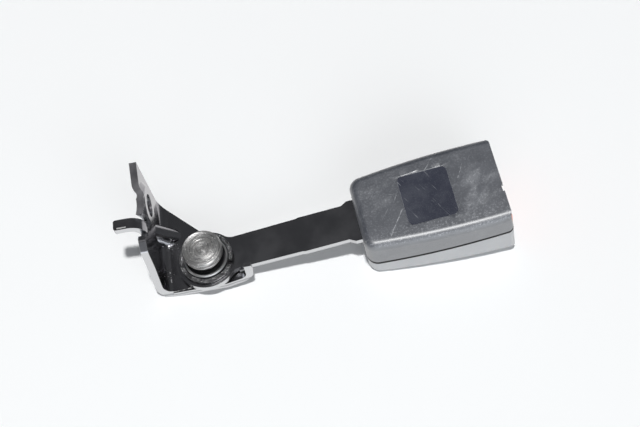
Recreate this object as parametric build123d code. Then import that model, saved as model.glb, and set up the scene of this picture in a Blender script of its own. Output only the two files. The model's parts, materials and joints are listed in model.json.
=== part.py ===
from build123d import *
from math import cos, radians, sin, sqrt
import os

# Seat belt buckle on a pivoting steel stalk, with the bracket that bolts it to a seat.
# Working frame, in mm: the pivot stud stands on the Z axis, the arm's top face is z = 0,
# +X runs along the arm to the mouth of the buckle, and the label side faces +Z.
# Every piece is moved once, on export, so that the bolt hole in the foot is the origin.

# ---- clearances ----
RUN_FIT = 0.05          # radial clearance of a shaft that turns in its hole
GAP = 0.3               # clearance between pieces that move past each other
SEAT = 0.1              # clearance between faces that sit on each other
FAR = 200.0             # reach of a cut that has to pass right through
MOUTH_RUN = 20.0        # how far the casing's block runs on before the mouth is cut

# ---- steel arm ----
ARM_T = 3.0             # thickness of the arm's steel
EYE_R = 15.2            # eye of the arm, round the pivot
EYE_FILLET_R = 6.0      # where the eye runs into the strap
STRAP_W_EYE = 18.0      # strap width beside the eye
STRAP_W_CASING = 19.4   # strap width beside the casing
STRAP_STEP_X = 47.0     # a small step in both edges
STRAP_STEP = 0.35       # how far that step stands out
STRAP_STEP_L = 1.5      # and its length
SHOULDER_OUT = 6.2      # where the strap widens, before the casing
SHOULDER_L = 3.0        # length of that widening
SHOULDER_W = 23.0       # width of the arm's tail inside the casing
TAIL_IN = 21.9          # how far the tail reaches into the casing

# ---- pivot ----
STUD_R = 5.0            # shank of the stud
STUD_HEAD_R = 10.0      # turned head
STUD_HEAD_T = 2.2       # thickness of the head
STUD_RING_R = 9.7       # second ring below the head
STUD_RING_T = 1.5       # thickness of that ring
STUD_GROOVE = 1.0       # groove between head and ring
STUD_TOP_Z = 12.5       # top of the stud's head
NECK_R = 6.4            # neck below the ring
BUSH_WALL = 1.9         # wall of the bush in the eye
CUP_R = 11.2            # cup of the bush above the arm
CUP_TOP_Z = 3.6         # lip of the cup
CUP_WALL = 1.4          # wall of the cup
CUP_FLOOR = 1.2         # floor of the cup
CUP_DRAFT = 0.4         # taper of its inside
SPRING_W = 1.9          # width of the split spring washer's strip
SPRING_T = 1.5          # thickness of its flat wire
SPRING_RISE = 1.9       # how far its upper end stands above its lower end
SPRING_END_DEG = -24.0  # where its square end lies
SPRING_OPENING = 8.0    # gap between its two ends, in degrees
THRUST_R = 9.0          # thrust washer between arm and bracket
TAIL_WASHER_R = 8.5     # washer under the bracket
TAIL_WASHER_T = 1.2
TAIL_HEAD_R = 7.0       # riveted tail of the stud
TAIL_HEAD_T = 1.6

# ---- bracket (its own x and y, turned about the stud) ----
BRACKET_YAW = -5.5      # the foot's turn from square to the arm, in degrees
PLATE_T = 3.6           # thickness of the bracket's steel
BASE_DROP = 1.3         # gap between the arm's underside and the base plate
FOOT_X = -23.4          # inner face of the foot
FOLD_R = 4.5            # inside radius of the fold between base plate and foot
FOOT_TOP_Z = 39.0       # free edge of the foot at its far end
FOOT_TOP_NEAR_Z = 32.4  # and beside the hook
FOOT_FAR_Y = 39.0       # far end of the foot
RELIEF_Y = 3.2          # end of the notch beside the hook
RELIEF_Z = 29.4
SHOULDER_Y = 0.6        # front shoulder of the foot
SHOULDER_Z = 30.4
NOSE_Y = -4.6           # upper front corner of the foot
NOSE_Z = 26.4
WAIST_Y = -6.6          # front edge, where it starts to sweep out to the base plate
WAIST_Z = 13.0
EDGE_R = 2.0            # rounded corners of the sheet's outline
FRONT_Y = -12.9         # front edge of the base plate
FRONT_BEND_X = 8.0      # where that edge turns in towards the stop lug
LUG_FRONT_Y = -10.4     # front edge of the base plate at the stop lug
LUG_X = 22.0            # outer face of the stop lug
LUG_FOLD_R = 3.0        # inside radius of its fold
LUG_TOP_Z = 3.6         # top of the stop lug
LUG_TOP_Y = -9.6        # its upper front corner
BOLT_HOLE_R = 5.75      # hole for the seat's anchor bolt
BOLT_Y = 22.3           # place of that hole along the foot
BOLT_Z = 24.0           # and above the arm's top face
BOSS_R = 9.5            # raised bolt seat
BOSS_RISE = 1.9         # how far it is pressed towards the arm
BOSS_FLANK = 2.8        # width of its sloping flank
BEAD_Y = 22.8           # middle of the bead that runs from the seat to the free edge
BEAD_HALF_W = 5.4       # half width of that bead at its foot
HOOK_Y = 10.0           # middle of the hook
HOOK_W = 5.6            # width of the hook
HOOK_LENGTH = 11.4      # reach of the hook behind the foot
HOOK_TOP_Z = 32.0       # top face of the hook
HOOK_FOLD_R = 4.8       # inside radius of its fold
HOOK_SLIT = 0.9         # slits beside the hook
GUSSET_Y = 19.0         # middle of the rib across the fold
GUSSET_R = 5.0          # radius of that pressed rib
GUSSET_REACH = 10.5     # how far it runs onto the base plate

# ---- casing ----
CASE_X = 76.9           # arm end
CASE_L = 72.5           # length
SIDE_ROOM = 2.9         # room beside the frame at the arm end, for the button's rails and springs
CASE_FLARE = 6.6        # how much wider the mouth is than the arm end
CASE_TOP_ARM = 6.0      # label face at the arm end
CASE_TOP_MOUTH = 5.0    # label face at the mouth
CASE_PART_ARM = -11.1   # parting line at the arm end
CASE_PART_MOUTH = -9.4  # parting line at the mouth
CASE_BOTTOM_ARM = -21.2     # front cover at the arm end
CASE_BOTTOM_MOUTH = -27.4   # front cover at the mouth
WALL = 2.0              # wall of both covers
CASE_CORNER_R = 5.5     # rounded corners at the arm end, seen from above
MOUTH_CORNER_R = 3.6    # and at the mouth
CASE_TOP_R = 4.2        # rounded edges round the label face
CASE_BOTTOM_R = 3.4     # and round the underside
LEAST_R = 0.8           # smallest rounding inside the covers
PART_GAP = 0.7          # open joint between the covers
LIP_T = 1.0             # lip of the front cover inside the back cover
LIP_H = 1.6             # and its height
FRONT_SETBACK = 0.5     # how much shorter the front cover is at the mouth
POST_T = 2.0            # posts that carry the frame
LABEL_IN = 23.5         # start of the label's recess, from the arm end
LABEL_L = 25.5          # length of the recess
LABEL_W = 28.6          # width of the recess
LABEL_R = 3.0           # its corners
LABEL_RECESS = 0.5      # depth of the recess
LABEL_T = 0.3           # thickness of the label
NOTCH_W = 4.0           # notch in the mouth edge of the back cover
NOTCH_DEPTH = 0.8       # its depth
NOTCH_Y = -6.5          # where it stands

# ---- latch frame ----
FRAME_T = 2.2           # steel of the frame
FRAME_FOLD_R = 1.7      # outside radius of its folds
TONGUE_W = 25.0         # belt tongue that the frame takes
TONGUE_T = 2.5          # thickness of that tongue
TONGUE_SIDE = 0.6       # room beside the tongue
TONGUE_OVER = 0.5       # room between the tongue and the frame
FRAME_START = 3.6       # start of the frame, from the casing's arm end
FRAME_SETBACK = 11.4    # end of the frame, from the casing's mouth
FRAME_NOSE_Z = -3.9     # lower edge of its walls beside the tongue
FRAME_BOTTOM_Z = -16.4  # and beside the latch
NOSE_SLOPE = 3.0        # length of the slope between those two edges
HEEL_LENGTH = 6.0       # wall behind the latch pin
HEEL_START = 4.0        # start of the slope at the arm end
RIVET_R = 3.0           # shank of the rivets
RIVET_HEAD_R = 4.6      # their heads
RIVET_HEAD_T = 1.2      # thickness of the heads
RIVET_BEVEL = 0.8       # how much smaller they are on top
RIVET_IN = 7.1          # first rivet, from the casing's arm end
RIVET_PITCH = 8.0       # from the first rivet to the second

# ---- latch, lock bar and ejector ----
PIN_IN = 19.4           # latch pivot, from the casing's arm end
PIN_Z = -7.8            # and below the arm's top face
PIN_R = 2.0             # radius of the pin
LATCH_T = 2.0           # thickness of the latch plate
LATCH_W = 18.0          # width of the latch plate
LATCH_BARREL_R = 3.2    # barrel round the pin
TOOTH_SETBACK = 22.4    # front of the tooth's root, from the casing's mouth
TOOTH_T = 3.0           # the tooth along X
TOOTH_W = 9.0           # width of the tooth
TOOTH_RAMP = 2.6        # how far the ramp that the tongue rides up falls away
TOOTH_LAND = 1.2        # flat top of the tooth
TOOTH_ROOM = 1.5        # room for the tooth in front of it, in the frame's slot
LATCH_NOSE = 0.8        # plate in front of the tooth
TOOTH_ENGAGE = 3.2      # how far the tooth stands above the tongue's underside when latched
LATCH_SWING = 7.5       # degrees from latched to released
LOCK_BEHIND = 8.0       # lock bar when latched, behind the tooth
LOCK_T = 2.5            # its section
LOCK_REACH = 2.0        # how far its ends stand out of the frame
LOCK_BACK = 9.0         # how far it goes back along its slots
LOCK_DROP = 2.8         # and how far it drops
EJECTOR_BEHIND = 0.8    # front face of the ejector behind the tooth, released
EJECTOR_L = 7.0         # length of the ejector
EJECTOR_W = 20.0        # its width
EJECTOR_H = 5.4         # its height
EJECTOR_KEY_IN = 1.5    # key that runs in the frame's slot, behind the front face
EJECTOR_KEY_W = 3.0     # width of the key
EJECTOR_KEY_L = 4.5     # length of the key
EJECTOR_POCKET = 4.0    # depth of the spring's pocket
EJECTOR_TRAVEL = 12.0   # how far the tongue pushes it back
SPRING_WIRE = 0.6       # thickness of the coil springs' wire
EJECTOR_SPRING_R = 2.1  # outside radius of the ejector's spring
EJECTOR_SPRING_TURNS = 7
BUTTON_SPRING_R = 1.3   # outside radius of the button's springs
BUTTON_SPRING_TURNS = 5
LOCK_CHAMFER = 0.3      # broken edges of the lock bar
EJECTOR_CORNER_R = 1.0  # rounded corners of the ejector

# ---- press button and tongue guide ----
BUTTON_TRAVEL = 5.0     # how far the button is pressed
BUTTON_SKIN = 2.2       # thickness of the button's face
BUTTON_DEPTH = 9.0      # depth of its skirt
BUTTON_DISH = 1.6       # how far its face is dished
BUTTON_PROUD = 0.8      # how far its ends stand out of the casing
BUTTON_EDGE_R = 1.2     # rounded edges along it
SLOT_SIDE = 1.1         # how much wider the mouth's slot is than the frame, each side
SLOT_TOP_Z = -0.1       # upper and lower edge of the slot
SLOT_BOTTOM_Z = -4.5
GUIDE_L = 9.0           # length of the tongue guide
GUIDE_SETBACK = 1.0     # its end, from the mouth
GUIDE_LEAD = 2.5        # length of its lead-in
GUIDE_FLARE = 1.2       # height of its lead-in
HORN_DEPTH = 5.4        # depth of its two horns beside the slot
RAIL_T = 2.0            # side rails of the button
RAIL_IN = 28.1          # end of the rails, from the casing's arm end
RAIL_TOP_Z = -3.0       # upper and lower edge of the rails
RAIL_BOTTOM_Z = -8.3
PUSHER_L = 4.0          # feet of the rails that reach for the lock bar
PUSHER_BOTTOM_Z = -13.4
SPRING_RIB_IN = 8.6     # ribs that hold the button's springs, from the casing's arm end
SPRING_RIB_T = 2.0      # thickness of the ribs
HOLDER_RIB_T = 1.5      # ribs of the back cover that hold the frame down
HOLDER_RIB_Y = 8.0      # where they stand, beside the middle

# ---- worked out from the above ----
BASE_TOP = -ARM_T - BASE_DROP
BASE_BOTTOM = BASE_TOP - PLATE_T
FOOT_OUT_X = FOOT_X - PLATE_T
BUSH_R = STUD_R + RUN_FIT + BUSH_WALL
STUD_TAIL_Z = BASE_BOTTOM - TAIL_WASHER_T
FRAME_INNER_W = TONGUE_W + 2 * TONGUE_SIDE
FRAME_OUT_Y = FRAME_INNER_W / 2 + FRAME_T
CASE_W_ARM = 2 * (FRAME_OUT_Y + SIDE_ROOM + WALL)
CASE_W_MOUTH = CASE_W_ARM + CASE_FLARE
CASE_END_X = CASE_X + CASE_L
SHOULDER_X = CASE_X - SHOULDER_OUT
TAIL_X = CASE_X + TAIL_IN
LABEL_X = CASE_X + LABEL_IN
FRAME_START_X = CASE_X + FRAME_START
FRAME_END_X = CASE_END_X - FRAME_SETBACK
RIVET_X = CASE_X + RIVET_IN
PIN_X = CASE_X + PIN_IN
TOOTH_X = CASE_END_X - TOOTH_SETBACK
LOCK_X = TOOTH_X - LOCK_BEHIND
EJECTOR_X = TOOTH_X - EJECTOR_BEHIND
RAIL_END_X = CASE_X + RAIL_IN
SPRING_RIB_X = CASE_X + SPRING_RIB_IN
SLOT_W = FRAME_INNER_W + 2 * SLOT_SIDE
FRAME_BASE_Z = SEAT
FRAME_TOP_Z = FRAME_BASE_Z + FRAME_T
TONGUE_TOP_Z = FRAME_BASE_Z - TONGUE_OVER
TONGUE_BOTTOM_Z = TONGUE_TOP_Z - TONGUE_T
LATCH_TOP_Z = PIN_Z + LATCH_T / 2
LATCH_BOTTOM_Z = PIN_Z - LATCH_T / 2
LOCK_Z = LATCH_BOTTOM_Z - GAP - LOCK_T / 2
EJECTOR_TOP_Z = FRAME_BASE_Z - GAP
EJECTOR_BOTTOM_Z = EJECTOR_TOP_Z - EJECTOR_H
RAIL_Y = FRAME_OUT_Y + GAP


def slope(x, at_arm, at_mouth):
    """A casing size that runs straight from the arm end to the mouth."""
    return at_arm + (at_mouth - at_arm) * (x - CASE_X) / CASE_L


def half_width(x):
    return slope(x, CASE_W_ARM, CASE_W_MOUTH) / 2


def top_z(x):
    return slope(x, CASE_TOP_ARM, CASE_TOP_MOUTH)


def part_z(x):
    return slope(x, CASE_PART_ARM, CASE_PART_MOUTH)


def bottom_z(x):
    return slope(x, CASE_BOTTOM_ARM, CASE_BOTTOM_MOUTH)


def block(x0, x1, y0, y1, z0, z1):
    return Pos((x0 + x1) / 2, (y0 + y1) / 2, (z0 + z1) / 2) * Box(x1 - x0, y1 - y0, z1 - z0)


def both_sides(shape):
    """A shape and its mirror image across the middle of the buckle."""
    return shape + mirror(shape, Plane.XZ)


def drum(r, z0, z1, x=0.0, y=0.0):
    return Pos(x, y, (z0 + z1) / 2) * Cylinder(r, z1 - z0)


def cross_drum(r, x, z, y0, y1):
    """A round bar along Y."""
    return Pos(x, (y0 + y1) / 2, z) * Rot(90, 0, 0) * Cylinder(r, y1 - y0)


def side_prism(points, y0, y1):
    """A closed outline in x and z, pulled from y0 to y1."""
    face = make_face(Polyline(*[(x, 0, z) for x, z in points], close=True))
    return Pos(0, y0, 0) * extrude(face, y1 - y0, dir=(0, 1, 0))


def plan_prism(points, z0, z1):
    """A closed outline in x and y, pulled from z0 to z1."""
    face = make_face(Polyline(*[(x, y, 0) for x, y in points], close=True))
    return Pos(0, 0, z0) * extrude(face, z1 - z0, dir=(0, 0, 1))


def turned(points):
    """A closed outline in r and z, turned about the stud's axis."""
    return revolve(make_face(Polyline(*[(r, 0, z) for r, z in points], close=True)), Axis.Z, 360)


def coil(radius, turns, x0, x1, y, z):
    """A compression spring along X, wound from wire of square section."""
    pitch = (x1 - x0 - SPRING_WIRE) / turns
    path = Helix(pitch, pitch * turns, radius - SPRING_WIRE / 2)
    section = Plane(path @ 0, z_dir=path % 0) * Rectangle(SPRING_WIRE, SPRING_WIRE)
    spring = sweep(section, path=path, is_frenet=True)
    return Pos(x0 + SPRING_WIRE / 2, y, z) * Rot(0, 90, 0) * spring


# ---------------------------------------------------------------- bracket and pivot
def along_arm(x):
    """How far across the bracket the arm's near side lies, at a place along the bracket."""
    return -(STRAP_W_EYE / 2 + GAP) / cos(radians(BRACKET_YAW)) - x * sin(radians(BRACKET_YAW))


def folded_sheet():
    """Foot, base plate and stop lug as one sheet folded twice, wider than the bracket is."""
    outer = block(FOOT_OUT_X, LUG_X, -FAR, FAR, BASE_BOTTOM, FAR)
    inner = block(FOOT_X, LUG_X - PLATE_T, -FAR - 1, FAR + 1, BASE_TOP, FAR + 1)
    folds = outer.edges().filter_by(Axis.Y).filter_by_position(Axis.Z, BASE_BOTTOM - 1, 0).sort_by(Axis.X)
    outer = fillet(folds[0], FOLD_R + PLATE_T)
    folds = outer.edges().filter_by(Axis.Y).filter_by_position(Axis.Z, BASE_BOTTOM - 1, 0).sort_by(Axis.X)
    outer = fillet(folds[-1], LUG_FOLD_R + PLATE_T)
    folds = inner.edges().filter_by(Axis.Y).filter_by_position(Axis.Z, BASE_TOP - 1, 0).sort_by(Axis.X)
    inner = fillet(folds[0], FOLD_R)
    folds = inner.edges().filter_by(Axis.Y).filter_by_position(Axis.Z, BASE_TOP - 1, 0).sort_by(Axis.X)
    return outer - fillet(folds[-1], LUG_FOLD_R)


def side_outline(points, rounded, x0, x1):
    """An outline in y and z, its named corners rounded, pulled from x0 to x1."""
    face = make_face(Polyline(*[(0, y, z) for y, z in points], close=True))
    corners = [v for v in face.vertices() for y, z in rounded if abs(v.Y - y) + abs(v.Z - z) < 0.01]
    if corners:
        face = fillet(corners, EDGE_R)
    return Pos(x0, 0, 0) * extrude(face, x1 - x0, dir=(1, 0, 0))


def foot_blank():
    """The foot seen square on, with the room that the hook is bent out of."""
    near = HOOK_Y - HOOK_W / 2
    far = HOOK_Y + HOOK_W / 2
    root_z = HOOK_TOP_Z - PLATE_T - HOOK_FOLD_R - HOOK_SLIT
    shoulder = (SHOULDER_Y, SHOULDER_Z)
    nose = (NOSE_Y, NOSE_Z)
    waist = (WAIST_Y, WAIST_Z)
    return side_outline([
        (FOOT_FAR_Y, BASE_BOTTOM), (FOOT_FAR_Y, FOOT_TOP_Z), (far + HOOK_SLIT, FOOT_TOP_NEAR_Z),
        (far + HOOK_SLIT, root_z), (near - HOOK_SLIT, root_z), (RELIEF_Y, RELIEF_Z),
        shoulder, nose, waist, (FRONT_Y, BASE_BOTTOM),
    ], [shoulder, nose, waist], FOOT_OUT_X - 1, FOOT_X + FOLD_R)


def hook():
    """The hook with its fold, seen from the side and pulled across its width."""
    root_z = HOOK_TOP_Z - PLATE_T - HOOK_FOLD_R - HOOK_SLIT
    tip_x = FOOT_OUT_X - HOOK_LENGTH
    y0 = HOOK_Y - HOOK_W / 2
    y1 = HOOK_Y + HOOK_W / 2
    solid = block(tip_x, FOOT_X, y0, y1, root_z, HOOK_TOP_Z)
    heel = solid.edges().filter_by(Axis.Y).filter_by_position(Axis.Z, HOOK_TOP_Z - 1, FAR)
    heel = heel.sort_by(Axis.X)[-1]
    solid = fillet(heel, HOOK_FOLD_R + PLATE_T)
    under = block(tip_x - 1, FOOT_OUT_X, y0 - 1, y1 + 1, root_z - 1, HOOK_TOP_Z - PLATE_T)
    throat = under.edges().filter_by(Axis.Y).filter_by_position(Axis.Z, root_z, FAR).sort_by(Axis.X)[-1]
    solid = solid - fillet(throat, HOOK_FOLD_R)
    tip = solid.edges().filter_by(Axis.Z).filter_by_position(Axis.X, tip_x - 1, tip_x + 1)
    return fillet(tip, HOOK_W / 5)


def bolt_seat(shift):
    """The pressed seat round the bolt hole with its bead, as the volume that the press moves."""
    x0 = FOOT_X + shift
    seat = Rot(0, 90, 0) * Cone(BOSS_R + BOSS_FLANK, BOSS_R, BOSS_RISE)
    seat = Pos(x0 + BOSS_RISE / 2, BOLT_Y, BOLT_Z) * seat
    foot = [(x0, BEAD_Y - BEAD_HALF_W, BOLT_Z), (x0, BEAD_Y + BEAD_HALF_W, BOLT_Z)]
    crest = (x0 + BOSS_RISE, BEAD_Y, BOLT_Z)
    bell = Spline(foot[0], crest, foot[1], tangents=[(0, 1, 0), (0, 1, 0), (0, 1, 0)])
    return seat + extrude(make_face(bell + Line(foot[1], foot[0])), FAR, dir=(0, 0, 1))


def gusset():
    """A rib pressed across the fold: a round bar laid at 45 degrees."""
    offset = (GUSSET_REACH - GUSSET_R * sqrt(2)) / 2
    bar = Pos(FOOT_X + offset, GUSSET_Y, BASE_TOP + offset) * Rot(0, 135, 0) * Cylinder(GUSSET_R, FAR)
    return bar & block(FOOT_X - PLATE_T / 2, FAR, -FAR, FAR, BASE_TOP - PLATE_T / 2, FAR)


def anchor_bracket():
    # seen from above: the far edge slants from the fold and runs in under the eye
    plan = plan_prism([
        (-FAR, FAR), (-FAR, FRONT_Y), (FRONT_BEND_X, FRONT_Y), (LUG_X, LUG_FRONT_Y),
        (LUG_X, along_arm(LUG_X - PLATE_T)), (LUG_X - PLATE_T - LUG_FOLD_R, along_arm(LUG_X - PLATE_T)),
        (THRUST_R + PLATE_T, 0), (THRUST_R, 2 * PLATE_T), (FOOT_X + FOLD_R, FOOT_FAR_Y - FOLD_R),
        (FOOT_X, FOOT_FAR_Y), (FOOT_X, FAR),
    ], -FAR, FAR)
    low = block(FOOT_X + FOLD_R, LUG_X - PLATE_T - LUG_FOLD_R, -FAR, FAR, BASE_BOTTOM, BASE_TOP)
    lug_end_y = along_arm(LUG_X - PLATE_T)
    lug = side_outline([
        (FRONT_Y, BASE_BOTTOM), (LUG_TOP_Y, LUG_TOP_Z), (lug_end_y, LUG_TOP_Z), (lug_end_y, BASE_BOTTOM),
    ], [], LUG_X - PLATE_T - LUG_FOLD_R, LUG_X + 1)
    bracket = folded_sheet() & plan & (low + foot_blank() + lug)
    # pressed forms of the foot
    bracket = bracket - (bolt_seat(-PLATE_T) & foot_blank())
    bracket = bracket + (bolt_seat(0) & foot_blank())
    bracket = bracket + gusset() + hook()
    # holes for the anchor bolt and the stud
    bolt = Pos(FOOT_X, BOLT_Y, BOLT_Z) * Rot(0, 90, 0) * Cylinder(BOLT_HOLE_R, 4 * PLATE_T)
    return bracket - bolt - drum(STUD_R + RUN_FIT, BASE_BOTTOM - 1, BASE_TOP + 1)


def pivot_stud():
    ring_top = STUD_TOP_Z - STUD_HEAD_T - STUD_GROOVE
    ring_bottom = ring_top - STUD_RING_T
    head_bottom = STUD_TOP_Z - STUD_HEAD_T
    shoulder = SEAT + CUP_FLOOR
    edge = 0.5
    return turned([
        (0, STUD_TAIL_Z - TAIL_HEAD_T), (TAIL_HEAD_R - 2 * edge, STUD_TAIL_Z - TAIL_HEAD_T),
        (TAIL_HEAD_R, STUD_TAIL_Z - edge), (TAIL_HEAD_R, STUD_TAIL_Z), (STUD_R, STUD_TAIL_Z),
        (STUD_R, shoulder), (NECK_R, shoulder), (NECK_R, ring_bottom),
        (STUD_RING_R - edge, ring_bottom), (STUD_RING_R, ring_bottom + edge),
        (STUD_RING_R, ring_top - edge / 2), (STUD_RING_R - edge / 2, ring_top),
        (NECK_R + 1, ring_top), (NECK_R + 1, head_bottom),
        (STUD_HEAD_R - edge / 2, head_bottom), (STUD_HEAD_R, head_bottom + edge / 2),
        (STUD_HEAD_R, STUD_TOP_Z - edge), (STUD_HEAD_R - edge, STUD_TOP_Z), (0, STUD_TOP_Z),
    ])


def pivot_bush():
    bore = STUD_R + RUN_FIT
    lip = CUP_WALL / 3
    return turned([
        (bore, -ARM_T - SEAT), (BUSH_R, -ARM_T - SEAT), (BUSH_R, SEAT), (CUP_R - lip, SEAT),
        (CUP_R, SEAT + lip), (CUP_R, CUP_TOP_Z - lip), (CUP_R - lip, CUP_TOP_Z),
        (CUP_R - CUP_WALL + lip, CUP_TOP_Z), (CUP_R - CUP_WALL, CUP_TOP_Z - lip),
        (CUP_R - CUP_WALL - CUP_DRAFT, SEAT + CUP_FLOOR), (bore, SEAT + CUP_FLOOR),
    ])


def spring_washer():
    inner = CUP_R + GAP
    turned = (360 - SPRING_OPENING) / 360
    path = Helix(SPRING_RISE, SPRING_RISE * turned, inner + SPRING_W / 2, lefthand=True)
    section = Plane(path @ 0, x_dir=(1, 0, 0), z_dir=path % 0) * Rectangle(SPRING_W, SPRING_T)
    ring = sweep(section, path=path, is_frenet=True)
    return Pos(0, 0, SEAT + SPRING_T / 2) * Rot(0, 0, SPRING_END_DEG - SPRING_OPENING) * ring


def thrust_washer():
    return drum(THRUST_R, BASE_TOP, -ARM_T - SEAT) - drum(STUD_R + RUN_FIT, BASE_TOP - 1, 0)


def stud_tail_washer():
    washer = drum(TAIL_WASHER_R, STUD_TAIL_Z, BASE_BOTTOM)
    return washer - drum(STUD_R + RUN_FIT, STUD_TAIL_Z - 1, BASE_BOTTOM + 1)


# ---------------------------------------------------------------- arm and latch frame
def strap_half_width(x):
    near = EYE_R + EYE_FILLET_R
    return (STRAP_W_EYE + (STRAP_W_CASING - STRAP_W_EYE) * (x - near) / (SHOULDER_X - near)) / 2


def buckle_arm():
    step = STRAP_STEP_X
    upper = [
        (0, strap_half_width(0)), (step, strap_half_width(step)),
        (step + STRAP_STEP_L, strap_half_width(step) + STRAP_STEP),
        (SHOULDER_X, strap_half_width(SHOULDER_X)), (SHOULDER_X + SHOULDER_L, SHOULDER_W / 2),
        (TAIL_X, SHOULDER_W / 2),
    ]
    lower = [(x, -y) for x, y in reversed(upper)]
    plan = make_face(Polyline(*upper, *lower, close=True)) + Circle(EYE_R)
    waist = plan.vertices().filter_by(lambda v: 5 < v.X < EYE_R and abs(v.Y) < EYE_R)
    plan = fillet(waist, EYE_FILLET_R)
    arm = Pos(0, 0, -ARM_T) * extrude(plan, ARM_T)
    arm = arm - drum(BUSH_R + RUN_FIT, -ARM_T - 1, 1)
    return arm - rivet_shanks(RUN_FIT)


def rivet_shanks(clearance):
    shanks = [drum(RIVET_R + clearance, -20, 20, RIVET_X + i * RIVET_PITCH) for i in range(2)]
    return shanks[0] + shanks[1]


def frame_rivets():
    group = []
    for i in range(2):
        x = RIVET_X + i * RIVET_PITCH
        shank = drum(RIVET_R, -ARM_T - RIVET_HEAD_T, FRAME_TOP_Z + RIVET_HEAD_T, x)
        upper = Cone(RIVET_HEAD_R, RIVET_HEAD_R - RIVET_BEVEL, RIVET_HEAD_T)
        upper = Pos(x, 0, FRAME_TOP_Z + RIVET_HEAD_T / 2) * upper
        lower = Cone(RIVET_HEAD_R - RIVET_BEVEL, RIVET_HEAD_R, RIVET_HEAD_T)
        lower = Pos(x, 0, -ARM_T - RIVET_HEAD_T / 2) * lower
        group.append(shank + upper + lower)
    return Compound(children=group)


def lock_position(latched):
    """Middle of the lock bar, in x and z."""
    if latched:
        return LOCK_X, LOCK_Z
    return LOCK_X - LOCK_BACK, LOCK_Z - LOCK_DROP


def lock_slot():
    """The slanting slot that the lock bar runs in."""
    half = LOCK_T / 2 + GAP
    ux, uz = lock_position(False)
    lx, lz = lock_position(True)
    return side_prism([
        (ux - half, uz - half), (ux + half, uz - half), (lx + half, lz - half),
        (lx + half, lz + half), (lx - half, lz + half), (ux - half, uz + half),
    ], -FAR, FAR)


def latch_frame():
    nose_x = TOOTH_X + TOOTH_T + NOSE_SLOPE / 2
    wall = side_prism([
        (FRAME_START_X, FRAME_BASE_Z), (FRAME_START_X, FRAME_TOP_Z), (FRAME_END_X, FRAME_TOP_Z),
        (FRAME_END_X, FRAME_NOSE_Z), (nose_x + NOSE_SLOPE, FRAME_NOSE_Z), (nose_x, FRAME_BOTTOM_Z),
        (PIN_X - HEEL_LENGTH, FRAME_BOTTOM_Z), (FRAME_START_X + HEEL_START, FRAME_NOSE_Z),
        (FRAME_START_X, FRAME_NOSE_Z),
    ], FRAME_INNER_W / 2, FRAME_OUT_Y)
    wall = wall - lock_slot() - cross_drum(PIN_R + RUN_FIT, PIN_X, PIN_Z, 0, FAR)
    base = block(FRAME_START_X, FRAME_END_X, -FRAME_OUT_Y, FRAME_OUT_Y, FRAME_BASE_Z, FRAME_TOP_Z)
    frame = both_sides(wall) + base
    folds = frame.edges().filter_by(Axis.X).filter_by(
        lambda e: abs(abs(e.center().Y) - FRAME_OUT_Y) < 0.01 and abs(e.center().Z - FRAME_TOP_Z) < 0.01)
    frame = fillet(folds, FRAME_FOLD_R)
    key_end = EJECTOR_X - EJECTOR_KEY_IN
    key_slot = block(key_end - EJECTOR_KEY_L - EJECTOR_TRAVEL - GAP, key_end + GAP,
                     -EJECTOR_KEY_W / 2 - GAP, EJECTOR_KEY_W / 2 + GAP, -1, FRAME_TOP_Z + 1)
    tooth_slot = block(TOOTH_X - GAP, TOOTH_X + TOOTH_T + TOOTH_ROOM,
                       -TOOTH_W / 2 - GAP, TOOTH_W / 2 + GAP, -1, FRAME_TOP_Z + 1)
    return frame - key_slot - tooth_slot - rivet_shanks(RUN_FIT)


# ---------------------------------------------------------------- latch works
def latch_plate():
    """The latch as it lies when the buckle is open: swung down about its pin."""
    end_x = TOOTH_X + TOOTH_T + LATCH_NOSE
    plate = block(PIN_X, end_x, -LATCH_W / 2, LATCH_W / 2, LATCH_BOTTOM_Z, LATCH_TOP_Z)
    barrel = cross_drum(LATCH_BARREL_R, PIN_X, PIN_Z, -LATCH_W / 2, LATCH_W / 2)
    top = TONGUE_BOTTOM_Z + TOOTH_ENGAGE
    tooth = side_prism([
        (TOOTH_X, LATCH_BOTTOM_Z), (TOOTH_X, top), (TOOTH_X + TOOTH_LAND, top),
        (TOOTH_X + TOOTH_T, top - TOOTH_RAMP), (TOOTH_X + TOOTH_T, LATCH_BOTTOM_Z),
    ], -TOOTH_W / 2, TOOTH_W / 2)
    latch = plate + barrel + tooth - cross_drum(PIN_R + RUN_FIT, PIN_X, PIN_Z, -FAR, FAR)
    return Pos(PIN_X, 0, PIN_Z) * Rot(0, LATCH_SWING, 0) * Pos(-PIN_X, 0, -PIN_Z) * latch


def latch_pin():
    return cross_drum(PIN_R, PIN_X, PIN_Z, -FRAME_OUT_Y, FRAME_OUT_Y)


def lock_bar():
    x, z = lock_position(False)
    half = LOCK_T / 2
    end_y = FRAME_OUT_Y + LOCK_REACH
    bar = block(x - half, x + half, -end_y, end_y, z - half, z + half)
    return chamfer(bar.edges().filter_by(Axis.Y), LOCK_CHAMFER)


def ejector():
    back = EJECTOR_X - EJECTOR_L
    body = block(back, EJECTOR_X, -EJECTOR_W / 2, EJECTOR_W / 2, EJECTOR_BOTTOM_Z, EJECTOR_TOP_Z)
    body = fillet(body.edges().filter_by(Axis.Z), EJECTOR_CORNER_R)
    key_end = EJECTOR_X - EJECTOR_KEY_IN
    key = block(key_end - EJECTOR_KEY_L, key_end, -EJECTOR_KEY_W / 2, EJECTOR_KEY_W / 2,
                EJECTOR_TOP_Z - 1, FRAME_TOP_Z - GAP)
    pocket = Pos(back, 0, (EJECTOR_TOP_Z + EJECTOR_BOTTOM_Z) / 2) * Rot(0, 90, 0) * Cylinder(
        EJECTOR_SPRING_R + GAP / 2, 2 * EJECTOR_POCKET)
    return body + key - pocket


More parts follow.
